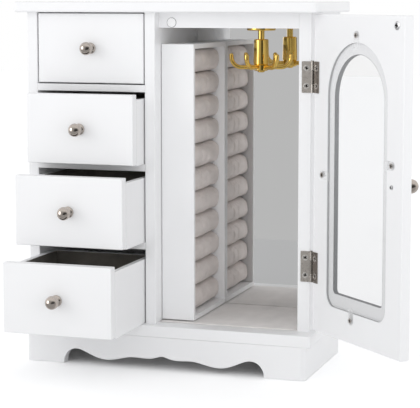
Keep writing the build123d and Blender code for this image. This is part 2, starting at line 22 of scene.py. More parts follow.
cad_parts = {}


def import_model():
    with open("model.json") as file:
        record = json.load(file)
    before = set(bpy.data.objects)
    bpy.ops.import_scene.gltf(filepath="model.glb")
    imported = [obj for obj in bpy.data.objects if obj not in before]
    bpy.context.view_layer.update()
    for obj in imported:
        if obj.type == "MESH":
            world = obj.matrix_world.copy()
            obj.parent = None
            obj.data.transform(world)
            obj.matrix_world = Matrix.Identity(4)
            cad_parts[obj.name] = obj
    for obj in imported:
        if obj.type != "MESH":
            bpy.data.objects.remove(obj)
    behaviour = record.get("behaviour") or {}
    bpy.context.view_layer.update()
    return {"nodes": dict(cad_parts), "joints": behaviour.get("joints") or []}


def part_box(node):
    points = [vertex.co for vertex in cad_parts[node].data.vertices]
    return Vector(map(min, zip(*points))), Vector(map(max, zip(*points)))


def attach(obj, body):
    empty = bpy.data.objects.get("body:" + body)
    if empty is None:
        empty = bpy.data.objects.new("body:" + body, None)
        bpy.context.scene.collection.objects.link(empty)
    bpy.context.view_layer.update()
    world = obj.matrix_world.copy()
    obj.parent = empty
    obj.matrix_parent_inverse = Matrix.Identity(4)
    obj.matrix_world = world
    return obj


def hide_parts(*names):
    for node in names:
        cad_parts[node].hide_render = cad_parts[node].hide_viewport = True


log = logging.getLogger("cabinet")
MM = 0.001
Colour = tuple[float, float, float]
Socket = bpy.types.NodeSocket
Shape = bmesh.types.BMesh
Piece = bpy.types.Object


class Body(str, Enum):
    """The bodies of the frame that pieces ride on."""

    CABINET = "cabinet"
    DOOR = "door"
    CAROUSEL = "hook_carousel"
    DRAWER_1 = "drawer_1"
    DRAWER_2 = "drawer_2"
    DRAWER_3 = "drawer_3"
    DRAWER_4 = "drawer_4"


DRAWERS = (Body.DRAWER_1, Body.DRAWER_2, Body.DRAWER_3, Body.DRAWER_4)

WHITE = (1.0, 1.0, 1.0, 1.0)
EVEN = (1.0, 1.0, 1.0)
NOISE_SPAN = (0.3, 0.7)  # what a noise factor mostly stays within


# Node trees


class Nodes:
    """A node tree, with short ways to add and join its nodes.

    Args:
        tree: The tree, which is emptied.
    """

    def __init__(self, tree: bpy.types.NodeTree) -> None:
        """Takes the tree and empties it."""
        self.tree = tree
        tree.nodes.clear()

    def feed(self, node: bpy.types.Node, key: str | int, value: object) -> None:
        """Links a socket to a node's input, or sets that input to a value."""
        if isinstance(value, Socket):
            self.tree.links.new(value, node.inputs[key])
        else:
            node.inputs[key].default_value = value

    def add(self, kind: str, inputs: dict[str | int, object] | None = None, **settings: object) -> bpy.types.Node:
        """Adds a node, sets it, and links or sets its inputs.

        Args:
            kind: The node's type name.
            inputs: For each input, a socket to link or a value.
            **settings: Properties of the node.

        Returns:
            The new node.
        """
        node = self.tree.nodes.new(kind)
        for key, value in settings.items():
            setattr(node, key, value)
        for key, value in (inputs or {}).items():
            self.feed(node, key, value)
        return node

    def out(self, kind: str, inputs: dict[str | int, object] | None = None, socket: str | int = 0,
            **settings: object) -> Socket:
        """Adds a node as add() does, and gives one of its outputs."""
        return self.add(kind, inputs, **settings).outputs[socket]

    def sum(self, operation: str, *terms: object) -> Socket:
        """Adds a math node on numbers or sockets, with an operation such as MULTIPLY."""
        return self.out("ShaderNodeMath", dict(enumerate(terms)), operation=operation)

    def spread(self, value: Socket, ends: Sequence[float], how: str = "SMOOTHSTEP") -> Socket:
        """Takes a number from one range to another.

        Args:
            value: The number.
            ends: The two ends of the range that it comes from, and of the one that it goes to.
            how: The node's way between the ends.

        Returns:
            The number in its new range.
        """
        names = ("From Min", "From Max", "To Min", "To Max")
        return self.out("ShaderNodeMapRange", {"Value": value, **dict(zip(names, ends))}, interpolation_type=how)

    def by_ray(self, *shaders: Socket) -> Socket:
        """Picks a shader by the kind of ray.

        Args:
            *shaders: One for light, one for reflections, and one for where it is seen.

        Returns:
            The picked shader.
        """
        path = self.add("ShaderNodeLightPath").outputs
        seen = self.sum("MAXIMUM", path["Is Camera Ray"], path["Is Transmission Ray"])
        unseen = self.out("ShaderNodeMixShader", {0: path["Is Glossy Ray"], 1: shaders[0], 2: shaders[1]})
        return self.out("ShaderNodeMixShader", {0: seen, 1: unseen, 2: shaders[2]})


# Finishes


class ShaderSketch(Nodes):
    """A material with one Principled shader, whose patterns lie on Object coordinates.

    Args:
        name: The material's name.
    """

    def __init__(self, name: str) -> None:
        """Starts the material."""
        self.material = bpy.data.materials.new(name)
        self.material.use_nodes = True
        super().__init__(self.material.node_tree)
        self.shader = self.add("ShaderNodeBsdfPrincipled")
        self.add("ShaderNodeOutputMaterial", {"Surface": self.shader.outputs["BSDF"]})
        self.place = self.out("ShaderNodeTexCoord", socket="Object")

    def set(self, **values: object) -> None:
        """Sets or links shader inputs by name, with _ standing for a space."""
        for key, value in values.items():
            self.feed(self.shader, key.replace("_", " "), value)

    def grain(self, scale: float, detail: float, stretch: Colour = EVEN) -> Socket:
        """Adds a noise pattern.

        Args:
            scale: Pattern cells in a metre.
            detail: How many finer layers the noise has.
            stretch: The pattern's scale along each axis.

        Returns:
            The noise's factor, from 0 to 1.
        """
        place = self.out("ShaderNodeMapping", {"Vector": self.place, "Scale": stretch})
        return self.out("ShaderNodeTexNoise", {"Vector": place, "Scale": scale, "Detail": detail}, "Fac")

    def two_tone(self, factor: Socket, dark: Colour, light: Colour) -> None:
        """Makes the base colour go from dark to light with a factor.

        Args:
            factor: The factor.
            dark: The colour at the low end of the noise span.
            light: The colour at its high end.
        """
        ramp = self.add("ShaderNodeValToRGB", {"Fac": factor})
        for stop, place, tone in zip(ramp.color_ramp.elements, NOISE_SPAN, (dark, light)):
            stop.position = place
            stop.color = (*tone, 1.0)
        self.set(Base_Color=ramp.outputs["Color"])

    def mottle(self, scale: float, detail: float, colour: Colour, shade: float) -> None:
        """Mottles the base colour, between the colour and a shade of it."""
        self.two_tone(self.grain(scale, detail), tuple(c * shade for c in colour), colour)

    def gloss(self, scale: float, detail: float, low: float, high: float, stretch: Colour = EVEN) -> None:
        """Makes the roughness uneven, between two values."""
        self.set(Roughness=self.spread(self.grain(scale, detail, stretch), (*NOISE_SPAN, low, high), "LINEAR"))

    def bump(self, scale: float, detail: float, strength: float, deep: float, stretch: Colour = EVEN) -> None:
        """Adds a fine relief to the shader's normal, on top of any before it.

        Args:
            scale: Pattern cells in a metre.
            detail: How many finer layers the noise has.
            strength: How much of the relief is used, from 0 to 1.
            deep: The relief's depth in metres.
            stretch: The pattern's scale along each axis.
        """
        inputs = {"Strength": strength, "Distance": deep, "Height": self.grain(scale, detail, stretch)}
        before = self.shader.inputs["Normal"].links
        if before:
            inputs["Normal"] = before[0].from_socket
        self.set(Normal=self.out("ShaderNodeBump", inputs))


@dataclass(frozen=True)
class Finish:
    """A surface finish, which knows the record's slot that it belongs to."""

    name: str
    slot: str
    colour: Colour

    def draw(self, art: ShaderSketch) -> None:
        """Draws the finish on a new sketch."""
        raise NotImplementedError


@dataclass(frozen=True)
class PaintFinish(Finish):
    """Sprayed satin paint, with a faint unevenness of tone, gloss and film."""

    roughness: float = 0.38

    def draw(self, art: ShaderSketch) -> None:
        """Draws paint with a soft mottle, uneven gloss and a fine orange peel."""
        art.mottle(14.0, 3.0, self.colour, 0.985)
        art.gloss(55.0, 4.0, self.roughness - 0.05, self.roughness + 0.05)
        art.bump(140.0, 2.0, 0.25, 0.04 * MM)
        art.bump(950.0, 2.0, 0.18, 0.03 * MM)


@dataclass(frozen=True)
class ClothFinish(Finish):
    """A napped cloth, such as suede or felt."""

    nap: float = 0.86
    fluff: float = 0.35
    fibre: float = 2600.0
    fibre_deep: float = 0.2 * MM

    def draw(self, art: ShaderSketch) -> None:
        """Draws cloth with a brushed nap, short fibres and a soft sheen."""
        dark = tuple(c * self.nap for c in self.colour)
        light = tuple(min(1.0, c / self.nap ** 0.5) for c in self.colour)
        art.two_tone(art.grain(60.0, 5.0, (1.0, 0.6, 1.3)), dark, light)
        art.gloss(300.0, 3.0, 0.84, 0.98)
        art.set(Sheen_Weight=self.fluff, Sheen_Roughness=0.45, Specular_IOR_Level=0.25)
        art.bump(self.fibre, 4.0, 0.5, self.fibre_deep)
        art.bump(self.fibre / 7.0, 2.0, 0.3, self.fibre_deep)


@dataclass(frozen=True)
class MetalFinish(Finish):
    """Plated metal, polished or brushed along one axis."""

    roughness: float = 0.15
    uneven: float = 0.04
    brushed: Colour | None = None

    def draw(self, art: ShaderSketch) -> None:
        """Draws plate with handling marks, and brush lines where it is brushed."""
        art.mottle(120.0, 3.0, self.colour, 0.93)
        art.gloss(420.0, 4.0, self.roughness - self.uneven, self.roughness + self.uneven)
        art.set(Metallic=1.0)
        if self.brushed:
            art.bump(900.0, 3.0, 0.35, 0.06 * MM, self.brushed)
        else:
            art.bump(700.0, 2.0, 0.05, 0.03 * MM)


@dataclass(frozen=True)
class MirrorFinish(Finish):
    """Silvered glass."""

    def draw(self, art: ShaderSketch) -> None:
        """Draws a mirror with faint wiping marks."""
        art.mottle(9.0, 3.0, self.colour, 0.985)
        art.gloss(30.0, 5.0, 0.004, 0.018, (1.0, 1.0, 0.3))
        art.set(Metallic=1.0)


@dataclass(frozen=True)
class ClearFinish(Finish):
    """A thin clear material: a pane, or a moulded clip where it is rougher.

    Its tone may go from painted_low_shade, at the height low, to its colour, at the height high: a painted shade that
    darkens the pane towards its bottom, standing for darker reflections there.
    """

    film: float = 0.1
    roughness: float = 0.02
    painted_low_shade: Colour | None = None
    low: float = 0.0
    high: float = 1.0

    def draw(self, art: ShaderSketch) -> None:
        """Draws a clear body with a faint film."""
        # Painted shade: the tone darkens from the colour at the height high to painted_low_shade at the height low.
        if self.painted_low_shade:
            height = art.out("ShaderNodeSeparateXYZ", {0: art.place}, "Z")
            art.two_tone(art.spread(height, (self.low, self.high, *NOISE_SPAN)), self.painted_low_shade, self.colour)
        else:
            art.mottle(60.0, 2.0, self.colour, 0.94)
        art.gloss(35.0, 4.0, self.roughness, self.roughness + 0.03)
        art.set(Alpha=self.film, IOR=1.5)


@dataclass(frozen=True)
class PlasticFinish(Finish):
    """Moulded opaque plastic, also used for the flat greys drawn as thin strips and rims in the door and round the
    magnet.
    """

    roughness: float = 0.25

    def draw(self, art: ShaderSketch) -> None:
        """Draws plastic with a faint moulded texture."""
        art.mottle(180.0, 3.0, self.colour, 0.95)
        art.gloss(260.0, 3.0, self.roughness - 0.04, self.roughness + 0.06)
        art.bump(1200.0, 2.0, 0.12, 0.03 * MM)


WHITE_PAINT = PaintFinish("satin_white_paint", "white_paint", (0.91, 0.911, 0.918))
ROLL_SUEDE = ClothFinish("taupe_suede", "roll_suede", (0.77, 0.71, 0.68), nap=0.88, fluff=0.15)
LINER_SUEDE = ClothFinish("light_suede", "liner_suede", (0.86, 0.83, 0.81), nap=0.92)
DARK_FELT = ClothFinish("charcoal_felt", "charcoal_felt", (0.175, 0.162, 0.142), nap=0.8, fluff=0.3)
SILVERED = MirrorFinish("silvered_glass", "mirror", (0.92, 0.922, 0.92))
# Painted shade: the dark rim round the magnet stands for the shade at its raised edge.
MAGNET_SHADE_RIM = PlasticFinish("painted_magnet_shade", "white_plastic", (0.20, 0.20, 0.205), 0.3)
# The pane's tone darkens towards its bottom: painted shade for darker reflections low on the glass.
PANE = ClearFinish("clear_pane", "clear_glass", (0.42, 0.43, 0.44), 0.10, 0.01, (0.03, 0.032, 0.034), 0.06, 0.25)
CLEAR_CLIP = ClearFinish("clear_moulding", "clear_plastic", (0.90, 0.905, 0.91), 0.14, 0.12)
WHITE_CAP = PlasticFinish("white_cap", "white_plastic", (0.98, 0.98, 0.98), 0.22)
# A flat dark grey laid over the wall of the door's opening, where it is darker than the white paint.
GREY_WALL_STRIP = PlasticFinish("grey_strip", "white_paint", (0.24, 0.245, 0.25), 0.6)
# Painted shade: a mid grey line on the rebate's outer wall, for the thin shadow beside the pane's edge.
REBATE_SHADE_LINE = PlasticFinish("painted_rebate_shade", "white_paint", (0.45, 0.455, 0.46), 0.6)
SATIN_NICKEL = MetalFinish("satin_nickel", "satin_nickel", (0.50, 0.465, 0.43), 0.30, 0.06, (1.0, 1.0, 0.06))
# Painted shade: a darker copy of the satin nickel, for the door's hinge leaves and pins, which lie in shade.
SHADED_COPY_NICKEL = MetalFinish("nickel_in_painted_shade", "satin_nickel", (0.30, 0.275, 0.25), 0.24, 0.05, (1.0, 1.0, 0.06))
SCREW_NICKEL = MetalFinish("bright_nickel", "satin_nickel", (0.78, 0.76, 0.73), 0.2, 0.04)
KNOB_NICKEL = MetalFinish("polished_nickel", "polished_nickel", (0.53, 0.475, 0.43), 0.12, 0.03)
ZINC = MetalFinish("zinc_plate", "plain_steel", (0.60, 0.60, 0.61), 0.32, 0.06)
GOLD = MetalFinish("gold_plate", "gold", (0.95, 0.65, 0.17), 0.09, 0.025)
# Painted shade: a near black laid on the faces of each screw's cross recess, where shade falls.
RECESS_SHADE_FINISH = MetalFinish("painted_recess_shade", "plain_steel", (0.03, 0.028, 0.026), 0.6, 0.05)


@lru_cache(maxsize=None)
def material_of(finish: Finish) -> bpy.types.Material:
    """Gives the one material of a finish, which is made at the first call."""
    art = ShaderSketch(finish.name)
    finish.draw(art)
    return art.material


# Pieces


@dataclass
class Frame:
    nodes: dict[str, Piece]
    joints: list[dict]

    def finish_node(self, node: str, finish: Finish) -> None:
        """Gives a CAD node a finish.

        Args:
            node: The node's name.
            finish: What it is finished in.
        """
        mesh = self.nodes[node].data
        mesh.materials.clear()
        mesh.materials.append(material_of(finish))

    def solids(self, node: str) -> list[list[Vector]]:
        """Splits a CAD node into its separate solids.

        Args:
            node: The node's name.

        Returns:
            The corner points of each solid, in order of height and then of place.
        """
        copy = bmesh.new()
        copy.from_mesh(self.nodes[node].data)
        bmesh.ops.remove_doubles(copy, verts=copy.verts, dist=2e-6)
        left = set(copy.verts)
        found = []
        while left:
            edge = [left.pop()]
            part = []
            while edge:
                vert = edge.pop()
                part.append(vert.co.copy())
                near = {e.other_vert(vert) for e in vert.link_edges} & left
                left -= near
                edge.extend(near)
            found.append(part)
        copy.free()
        return sorted(found, key=lambda part: tuple(round(c, 5) for c in reversed(min(part, key=lambda p: p.z))))

    def door_turn(self) -> Matrix:
        """The turn that takes the closed door to the open place that it rests in."""
        hinge = next(j for j in self.joints if j["name"] == "door_hinge")
        pin = Vector(hinge["pos_m"])
        angle = math.radians(-hinge["range_deg"][0])
        return Matrix.Translation(pin) @ Matrix.Rotation(angle, 4, "Z") @ Matrix.Translation(-pin)


def tip_along(points: Sequence[Vector], axis: Vector) -> Vector:
    """Finds the end of a round solid along its axis.

    Args:
        points: The solid's corner points.
        axis: The direction of its axis, towards the wanted end.

    Returns:
        The middle of that end.
    """
    side = axis.orthogonal().normalized()
    other = axis.cross(side)
    spans = [[p.dot(way) for p in points] for way in (side, other)]
    middles = [(min(span) + max(span)) / 2 for span in spans]
    reach = max(p.dot(axis) for p in points)
    return side * middles[0] + other * middles[1] + axis * reach


def stand(name: str, data: bpy.types.ID) -> Piece:
    """Puts new data in the scene as an object at the origin."""
    thing = bpy.data.objects.new(name, data)
    bpy.context.scene.collection.objects.link(thing)
    return thing


def soften(mesh: bpy.types.Mesh, angle: float) -> None:
    """Shades a mesh smooth, with the edges past an angle in degrees left sharp."""
    mesh.shade_smooth()
    mesh.set_sharp_from_angle(angle=math.radians(angle))


def make_piece(name: str, shape: Shape, finish: Finish, smooth: float) -> Piece:
    """Makes an object at the origin from a finished shape.

    Args:
        name: The piece's name.
        shape: Its mesh, which is freed.
        finish: What it is finished in.
        smooth: The angle in degrees past which an edge stays sharp.

    Returns:
        The new object.
    """
    mesh = bpy.data.meshes.new(name)
    shape.to_mesh(mesh)
    shape.free()
    mesh.materials.append(material_of(finish))
    soften(mesh, smooth)
    return stand(name, mesh)


def fit(piece: Piece, body: Body, finish: Finish, *nodes: str) -> Piece:
    """Puts a finished piece on its body.

    Args:
        piece: The piece, in place.
        body: The body that it rides on.
        finish: Not used.
        *nodes: The CAD nodes that it stands for.

    Returns:
        The piece.
    """
    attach(piece, body.value)
    if nodes:
        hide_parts(*nodes)
    log.info("%s rides on %s, %d faces", piece.name, body.value, len(piece.data.polygons))
    return piece


def skin(shape: Shape, loops: Sequence[Sequence[bmesh.types.BMVert]], capped: bool = False) -> None:
    """Joins each loop of corners to the next, and turns the faces outwards.

    Args:
        shape: The shape that holds the corners.
        loops: The loops, with as many corners each.
        capped: Whether the first and the last loop are filled.
    """
    for one, two in zip(loops, loops[1:]):
        for n in range(len(one)):
            k = (n + 1) % len(one)
            shape.faces.new((one[n], one[k], two[k], two[n]))
    if capped:
        shape.faces.new(loops[0])
        shape.faces.new(loops[-1][::-1])
    bmesh.ops.recalc_face_normals(shape, faces=shape.faces)


def turned(profile: Sequence[tuple[float, float]], around: int = 40) -> Shape:
    """Turns a profile about the Z axis, as on a lathe.

    Args:
        profile: Radius and height of each point, from the bottom to the top. A radius of 0 closes an end.
        around: How many sides the turning has.

    Returns:
        The closed shape.
    """
    shape = bmesh.new()
    rings = []
    for radius, height in profile:
        if radius < 1e-7:
            rings.append([shape.verts.new((0.0, 0.0, height))])
            continue
        angles = [2 * math.pi * n / around for n in range(around)]
        rings.append([shape.verts.new((radius * math.cos(a), radius * math.sin(a), height)) for a in angles])
    for low, high in zip(rings, rings[1:]):
        for n in range(around):
            corners = [low[n % len(low)], low[(n + 1) % len(low)], high[(n + 1) % len(high)], high[n % len(high)]]
            face = list(dict.fromkeys(corners))
            if len(face) > 2:
                shape.faces.new(face)
    for ring, order in ((rings[0], -1), (rings[-1], 1)):
        if len(ring) > 1:
            shape.faces.new(ring[::order])
    bmesh.ops.recalc_face_normals(shape, faces=shape.faces)
    return shape


def rounded(profile: Sequence[tuple[float, float]], radius: float, steps: int = 3) -> list[tuple[float, float]]:
    """Rounds the inner corners of a profile.

    Args:
        profile: The profile's points.
        radius: The greatest distance from a corner at which its curve starts.
        steps: How many points each curve has.

    Returns:
        The profile with a short curve at each inner corner.
    """
    points = [Vector(p) for p in profile]
    out = [tuple(points[0])]
    for before, corner, after in zip(points, points[1:], points[2:]):
        reach_in = min(radius, (corner - before).length * 0.45)
        reach_out = min(radius, (after - corner).length * 0.45)
        start = corner + (before - corner).normalized() * reach_in
        end = corner + (after - corner).normalized() * reach_out
        for n in range(steps + 1):
            t = n / steps
            out.append(tuple(start * (1 - t) ** 2 + corner * 2 * t * (1 - t) + end * t ** 2))
    out.append(tuple(points[-1]))
    return out


# Geometry Nodes


class Recipe(Nodes):
    """A Geometry Nodes tree with named inputs, baked to a plain mesh when it is used.

    Args:
        name: The tree's name.
    """

    def __init__(self, name: str) -> None:
        """Starts a tree with a geometry input and output."""
        super().__init__(bpy.data.node_groups.new(name, "GeometryNodeTree"))
        self.values: dict[str, object] = {}
        for way in ("INPUT", "OUTPUT"):
            self.tree.interface.new_socket("Geometry", in_out=way, socket_type="NodeSocketGeometry")
        self.start = self.add("NodeGroupInput")

    def ask(self, *rows: tuple[str, str, object]) -> list[Socket]:
        """Adds named inputs.

        Args:
            *rows: For each input its name, its type, such as Float, Int, Object or Material, and its value.

        Returns:
            The inputs' sockets inside the tree.
        """
        for name, kind, value in rows:
            item = self.tree.interface.new_socket(name, in_out="INPUT", socket_type=f"NodeSocket{kind}")
            self.values[item.identifier] = value
        return [self.start.outputs[row[0]] for row in rows]

    def xyz(self, **axes: object) -> Socket:
        """Joins numbers to a vector."""
        return self.out("ShaderNodeCombineXYZ", axes)

    def pattern(self, source: Socket) -> Socket:
        """Takes the shape of an object input."""
        return self.out("GeometryNodeObjectInfo", {"Object": source}, "Geometry", transform_space="RELATIVE")

    def finish(self, material: Socket | None, **placing: Socket) -> None:
        """Ends the tree with one real copy of a part on each point.

        Args:
            material: The material input, or None where the parts have their own.
            **placing: The points, the instance, and its scale or rotation.
        """
        real = self.out("GeometryNodeRealizeInstances", {0: self.out("GeometryNodeInstanceOnPoints", placing)})
        if material is not None:
            real = self.out("GeometryNodeSetMaterial", {"Geometry": real, "Material": material})
        self.add("NodeGroupOutput", {0: real})

    def bake(self, name: str, smooth: float, points: Iterable[Vector] = ()) -> Piece:
        """Runs the tree once and keeps its result as a plain mesh.

        Args:
            name: The new piece's name.
            smooth: The angle in degrees past which an edge stays sharp.
            points: Points that the tree starts from.

        Returns:
            The new object, with no modifier left.
        """
        mesh = bpy.data.meshes.new(name)
        mesh.from_pydata([tuple(p) for p in points], [], [])
        piece = stand(name, mesh)
        modifier = piece.modifiers.new("recipe", "NODES")
        modifier.node_group = self.tree
        for identifier, value in self.values.items():
            modifier[identifier] = value
        view = bpy.context.evaluated_depsgraph_get()
        made = bpy.data.meshes.new_from_object(piece.evaluated_get(view), depsgraph=view)
        piece.modifiers.clear()
        piece.data = made
        made.name = name
        soften(made, smooth)
        return piece


# Studio


@dataclass
class Studio:
    """The plain white studio: floor, soft light and the camera of the photograph."""

    eye: Colour = (0.4936, -1.4054, 0.3429)
    turn: float = 18.399
    dip: float = 6.70
    lens: float = 134.85
    rise: float = -0.05
    aim: Colour = (0.0, 0.0, 0.15)
    floor_half: float = 3.0
    floor_front: float = 0.62
    floor_drop: float = 0.2 * MM
    floor_white: float = 0.96
    floor_seen: float = 1.22
    floor_glow: float = 0.02
    ambient: float = 0.98
    key_power: float = 5.6
    fill_power: float = 3.8

    def camera(self) -> None:
        """Sets up the photograph's viewing angle."""
        data = bpy.data.cameras.new("camera")
        data.lens = self.lens
        data.sensor_width = 36.0
        data.shift_y = self.rise
        data.clip_start = 0.05
        camera = stand("camera", data)
        camera.location = self.eye
        camera.rotation_euler = (math.radians(90.0 - self.dip), 0.0, math.radians(self.turn))
        bpy.context.scene.camera = camera

    def lamp(self, name: str, place: Colour, size: float, power: float) -> Piece:
        """Hangs one square soft box that faces the cabinet.

        Args:
            name: The lamp's name.
            place: Where it hangs.
            size: Its side.
            power: Its power in watts.

        Returns:
            The lamp.
        """
        data = bpy.data.lights.new(name, "AREA")
        data.size = size
        data.energy = power
        lamp = stand(name, data)
        lamp.location = place
        lamp.rotation_euler = (Vector(self.aim) - Vector(place)).to_track_quat("-Z", "Y").to_euler()
        return lamp

    def sky(self) -> None:
        """Surrounds the studio: white where it is seen, softer where it lights, greyer where metal reflects it."""
        world = bpy.data.worlds.new("studio")
        bpy.context.scene.world = world
        world.use_nodes = True
        art = Nodes(world.node_tree)
        way = art.out("ShaderNodeTexCoord", socket="Generated")
        height = art.out("ShaderNodeSeparateXYZ", {0: way}, "Z")
        level = art.spread(height, (-0.4, 1.0, self.ambient * 1.24, self.ambient * 0.77))
        light = art.out("ShaderNodeBackground", {"Color": (0.985, 0.99, 1.0, 1.0), "Strength": level})
        room = art.out("ShaderNodeBackground", {"Color": self._room_tone(art, way)})
        white = art.out("ShaderNodeBackground", {"Color": WHITE})
        art.add("ShaderNodeOutputWorld", {"Surface": art.by_ray(light, room, white)})

    def _room_tone(self, art: Nodes, way: Socket) -> Socket:
        """Shades the reflected room by direction.

        Args:
            art: The world's tree.
            way: The direction of the reflected ray.

        Returns:
            The tone, which is 1 away from the zones.
        """
        zones = (
            ((0.0, -1.0, -0.35), (0.1, 0.75, 1.0, 0.52)),  # grey in front of the cabinet
            ((0.75, -0.65, -0.1), (0.55, 0.95, 1.0, 0.10)),  # dark at the front right
            ((-0.72, -0.68, 0.12), (0.90, 0.97, 1.0, 5.0)),  # one bright lamp at the front left
        )
        tone = 1.0
        for middle, ends in zones:
            near = art.out("ShaderNodeVectorMath", {0: way, 1: middle}, "Value", operation="DOT_PRODUCT")
            tone = art.sum("MULTIPLY", tone, art.spread(near, ends))
        return tone

    def floor(self) -> None:
        """Lays a white floor that keeps the cabinet's shadow."""
        shape = bmesh.new()
        bmesh.ops.create_grid(shape, x_segments=8, y_segments=8, size=self.floor_half)
        bmesh.ops.translate(shape, verts=shape.verts, vec=(0.0, self.floor_half - self.floor_front, 0.0))
        mesh = bpy.data.meshes.new("studio_floor")
        shape.to_mesh(mesh)
        shape.free()
        mesh.materials.append(self._floor_material())
        floor = stand("studio_floor", mesh)
        floor.location.z = -self.floor_drop

    def _floor_material(self) -> bpy.types.Material:
        """Makes a matt white, which is brighter where it is seen, and greyer where it is mirrored in front."""
        material = bpy.data.materials.new("studio_floor")
        material.use_nodes = True
        art = Nodes(material.node_tree)
        back = art.out("ShaderNodeSeparateXYZ", {0: art.out("ShaderNodeTexCoord", socket="Object")}, "Y")
        tones = [(level, level, level, 1.0) for level in (self.floor_white, self.floor_seen)]
        tones.append(art.spread(back, (-0.20, -0.02, 0.55, 0.95)))
        matt, bright, mirrored = [art.out("ShaderNodeBsdfDiffuse", {"Color": tone}) for tone in tones]
        glow = art.out("ShaderNodeEmission", {"Strength": self.floor_glow})
        seen = art.out("ShaderNodeAddShader", {0: bright, 1: glow})
        art.add("ShaderNodeOutputMaterial", {"Surface": art.by_ray(matt, mirrored, seen)})
        return material

    def build(self) -> None:
        """Sets up the whole studio."""
        self.camera()
        self.sky()
        self.floor()
        self.lamp("key_box", (-1.7, -1.35, 0.95), 1.1, self.key_power)
        fill = self.lamp("fill_box", (1.7, -1.3, 0.5), 1.3, self.fill_power)
        fill.visible_glossy = False


# The cabinet's own pieces


@dataclass
class PaintedBoards:
    """Every painted board, and the small fixed pieces that keep their CAD shapes."""

    cabinet: tuple[str, ...] = (
        "front_apron", "side_aprons", "rear_apron", "base_board", "top_board", "left_side_panel",
        "right_side_panel", "divider_panel", "drawer_shelves", "compartment_ceiling", "back_panel",
        "tray_frame_boards", "tray_backing", "door_panel",
    )
    drawer: tuple[str, ...] = ("front", "boards", "bottom")

    def build(self, frame: Frame) -> None:
        """Paints the boards and finishes what keeps its CAD shape.

        Args:
            frame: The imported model.
        """
        names = list(self.cabinet)
        names += [f"{body.value}_{part}" for body in DRAWERS for part in self.drawer]
        for name in names:
            frame.finish_node(name, WHITE_PAINT)
        kept = {
            "compartment_mirror": SILVERED, "magnet_catch": WHITE_CAP, "back_panel_nails": ZINC,
            # the hinge pins and the door's leaves take the darker copy of the nickel: painted shade
            "base_screws": ZINC, "hinge_frame_leaves": SATIN_NICKEL, "hinge_pins": SHADED_COPY_NICKEL,
            "hinge_door_leaves": SHADED_COPY_NICKEL, "carousel_flange": GOLD,
            "carousel_hub": GOLD, "glass_clips": CLEAR_CLIP,
        }
        for name, finish in kept.items():
            frame.finish_node(name, finish)
        frame.nodes["glass_clips"].visible_shadow = False
        frame.nodes["glass_clips"].visible_diffuse = False
        self.ring()
        log.info("%d CAD nodes keep their shapes", len(names) + len(kept))

    def ring(self) -> None:
        """Turns the thin dark grey rim round the magnet's face: painted shade round the edge of the raised magnet."""
        low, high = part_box("magnet_catch")
        radius = (high.x - low.x) / 2
        profile = [(radius, 0.0), (radius + 0.35 * MM, 0.0), (radius + 0.3 * MM, 0.35 * MM), (radius, 0.45 * MM)]
        shape = bmesh.new()
        spun = [[shape.verts.new((r * math.cos(a), -z, r * math.sin(a))) for r, z in profile]
                for a in (2 * math.pi * n / 48 for n in range(48))]
        skin(shape, spun + spun[:1])
        middle = Vector(((low.x + high.x) / 2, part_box("compartment_ceiling")[0].y, (low.z + high.z) / 2))
        bmesh.ops.translate(shape, verts=shape.verts, vec=middle)
        fit(make_piece("magnet_rim", shape, MAGNET_SHADE_RIM, 40.0), Body.CABINET, MAGNET_SHADE_RIM)


